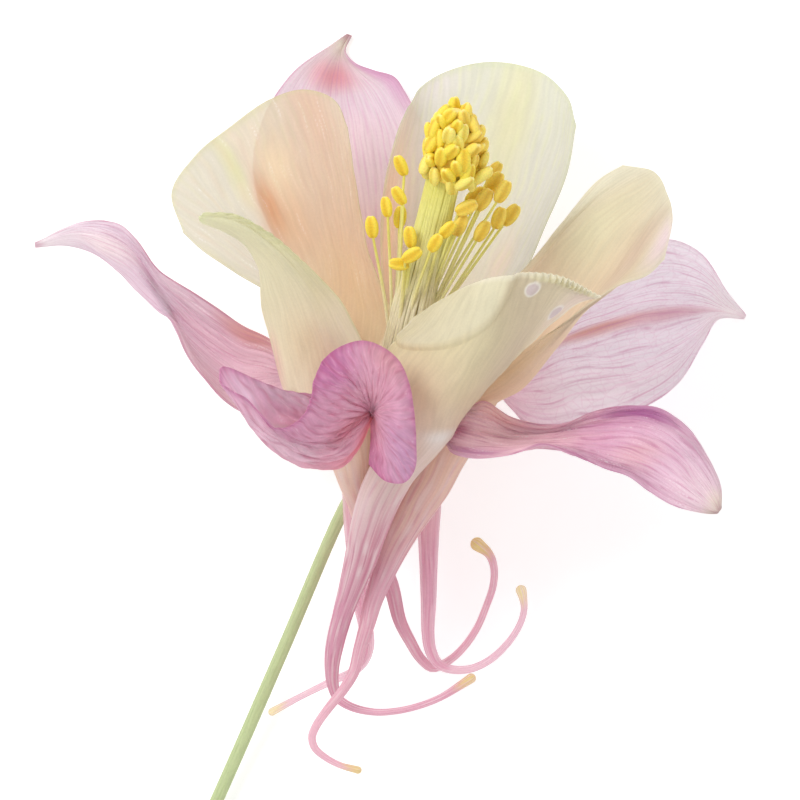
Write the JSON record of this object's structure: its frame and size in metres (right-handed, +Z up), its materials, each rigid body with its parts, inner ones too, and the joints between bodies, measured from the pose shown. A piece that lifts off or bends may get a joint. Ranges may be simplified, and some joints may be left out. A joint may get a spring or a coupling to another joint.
{
  "type": "picked columbine flower",
  "caption": "Long-spurred columbine flower on a short cut stalk, pink sepals round cream petals with pink spurs, lying on its side.",
  "frame": {"origin": "middle of the outline on the surface that the flower lies on", "axes": "+Z up from the surface, +Y from the cut end of the stalk towards the open flower, +X to the right as seen from above"},
  "size_m": [0.0712, 0.103, 0.045],
  "materials": {
    "stalk": "matt green stem with fine down",
    "petal": "soft satin cream petal, translucent, pink along its spur",
    "sepal": "soft satin pink sepal, translucent, with darker veins",
    "filament": "satin yellow-green threads",
    "anther": "matt golden yellow pollen sacs"
  },
  "bodies": {
    "root": {"stalk": "stalk", "petal_front": "petal", "petal_right": "petal", "petal_back_right": "petal", "petal_back_left": "petal", "petal_left": "petal", "sepal_back": "sepal", "sepal_back_right": "sepal", "sepal_left": "sepal", "sepal_front_right": "sepal", "sepal_front": "sepal", "stamens": "filament", "anther_head": "anther"}
  },
  "joints": []
}
